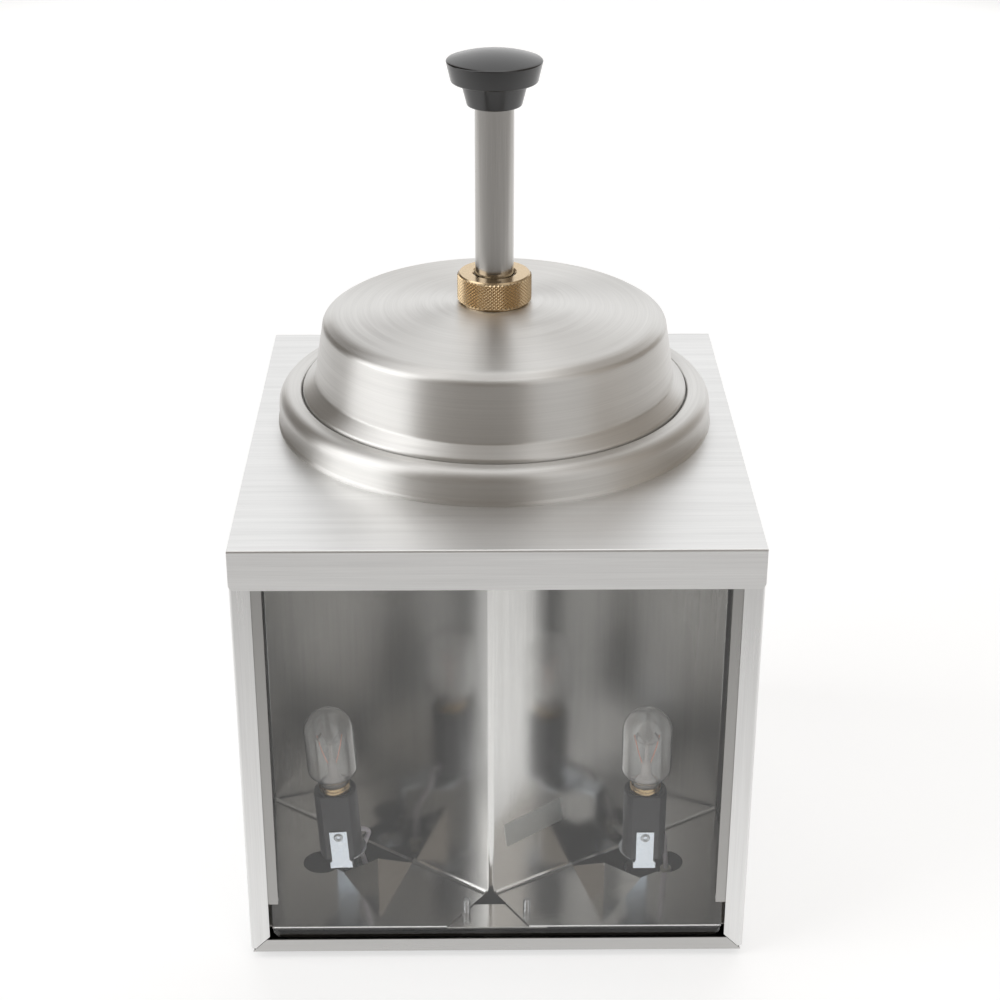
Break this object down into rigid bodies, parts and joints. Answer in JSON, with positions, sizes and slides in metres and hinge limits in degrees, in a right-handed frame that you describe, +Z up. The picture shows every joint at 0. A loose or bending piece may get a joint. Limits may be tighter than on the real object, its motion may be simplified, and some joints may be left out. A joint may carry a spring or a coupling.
{
  "type": "nacho cheese dispenser",
  "caption": "Heated counter-top sauce dispenser: satin steel cabinet with a lit window, a water well holding a lidded vessel, and a spring-return hand pump.",
  "frame": {"origin": "on the floor under the middle of the whole object, spout included", "axes": "+Z up along the pump, -Y towards the window side, +Y towards the spout"},
  "size_m": [0.254, 0.3146, 0.433],
  "materials": {
    "cabinet_steel": "light satin stainless sheet, fine straight grain",
    "zinc_sheet": "plain zinc-coated sheet",
    "pane_clear": "clear polished pane",
    "bright_sheet": "bright rolled stainless sheet, faint vertical grain",
    "spun_steel": "spun stainless, circular brushing",
    "plated_strap": "bright zinc plate, slightly blue",
    "steel_fastener": "plated steel",
    "label_blank": "satin blank label",
    "socket_black": "black moulded phenolic",
    "brass": "satin brass",
    "lamp_glass": "clear blown glass",
    "lamp_mount": "whitish glass stem with support wires",
    "lead_white": "white lead insulation",
    "nylon_natural": "natural nylon",
    "knob_black": "polished black phenolic",
    "stem_steel": "satin drawn stainless tube",
    "rubber_black": "black rubber",
    "gasket_white": "white food-grade rubber",
    "ptfe_white": "white filled polymer",
    "heater_steel": "dark heat-treated steel",
    "switch_black": "black moulded switch",
    "pilot_amber": "amber translucent lens"
  },
  "bodies": {
    "housing": {"base_pan": "cabinet_steel", "cabinet_wrap": "cabinet_steel", "top_cover": "cabinet_steel", "left_window_channel": "cabinet_steel", "right_window_channel": "cabinet_steel", "reflector": "bright_sheet", "reflector_screws": "steel_fastener", "reflector_nuts": "steel_fastener", "reflector_tie_plate": "bright_sheet", "label_plate": "label_blank", "lamp_socket_left": "socket_black", "lamp_socket_right": "socket_black", "socket_liner_left": "brass", "socket_liner_right": "brass", "socket_bracket_left": "plated_strap", "socket_bracket_right": "plated_strap", "socket_rivets": "steel_fastener", "bracket_screws": "steel_fastener", "lamp_lead_left": "lead_white", "lamp_lead_right": "lead_white", "splice_caps": "nylon_natural", "water_well": "spun_steel", "heater_ring": "heater_steel", "thermostat": "zinc_sheet", "heater_clamp": "zinc_sheet", "heater_studs": "steel_fastener", "heater_nuts": "steel_fastener", "terminal_block": "nylon_natural", "switch_housing": "switch_black", "pilot_lamp": "pilot_amber", "cord_gland": "switch_black", "gland_nut": "switch_black", "rubber_feet": "rubber_black", "foot_screws": "steel_fastener", "foot_nuts": "steel_fastener"},
    "pane": {"window_pane": "pane_clear"},
    "bulb_left": {"lamp_glass_left": "lamp_glass", "lamp_base_left": "brass", "lamp_filament_left": "lamp_mount"},
    "bulb_right": {"lamp_glass_right": "lamp_glass", "lamp_base_right": "brass", "lamp_filament_right": "lamp_mount"},
    "vessel": {"food_vessel": "spun_steel"},
    "pump_lid": {"lid_dome": "spun_steel", "barrel_gasket": "gasket_white", "pump_barrel": "stem_steel", "stem_bush": "ptfe_white", "valve_body": "stem_steel", "ball_stop_pins": "steel_fastener", "discharge_tube": "stem_steel"},
    "nut": {"lock_nut": "brass"},
    "plunger": {"plunger_stem": "stem_steel", "piston": "ptfe_white", "piston_seal": "rubber_black", "knob": "knob_black", "return_spring": "steel_fastener"},
    "inlet_valve": {"inlet_ball": "steel_fastener"},
    "outlet_valve": {"outlet_ball": "steel_fastener"},
    "rocker": {"switch_rocker": "switch_black"}
  },
  "joints": [
    {"name": "pane_lift", "type": "slide", "parent": "housing", "child": "pane", "axis": [0, 0, 1], "range_m": [0, 0.012]},
    {"name": "bulb_left_turn", "type": "hinge", "parent": "housing", "child": "bulb_left", "pos_m": [-0.0801, -0.1262, 0.042], "axis": [-0.0628, 0, 0.998], "continuous": true},
    {"name": "bulb_right_turn", "type": "hinge", "parent": "housing", "child": "bulb_right", "pos_m": [0.0762, -0.128, 0.042], "axis": [0, 0, 1], "continuous": true},
    {"name": "vessel_lift", "type": "slide", "parent": "housing", "child": "vessel", "axis": [0, 0, 1], "range_m": [0, 0.2]},
    {"name": "pump_lid_lift", "type": "slide", "parent": "vessel", "child": "pump_lid", "axis": [0, 0, 1], "range_m": [0, 0.25]},
    {"name": "nut_turn", "type": "hinge", "parent": "pump_lid", "child": "nut", "pos_m": [0, 0.0036, 0.31], "axis": [0, 0, 1], "continuous": true},
    {"name": "plunger_stroke", "type": "slide", "parent": "pump_lid", "child": "plunger", "axis": [0, 0, -1], "range_m": [0, 0.075], "stiffness_N_per_m": 250, "springref_m": -0.02, "deforming": ["return_spring"]},
    {"name": "inlet_ball_lift", "type": "slide", "parent": "pump_lid", "child": "inlet_valve", "axis": [0, 0, 1], "range_m": [0, 0.003]},
    {"name": "outlet_ball_lift", "type": "slide", "parent": "pump_lid", "child": "outlet_valve", "axis": [0, 0, 1], "range_m": [0, 0.003]},
    {"name": "rocker_tilt", "type": "hinge", "parent": "housing", "child": "rocker", "pos_m": [-0.074, 0.11655, 0.038], "axis": [1, 0, 0], "range_deg": [-18, 0]}
  ]
}
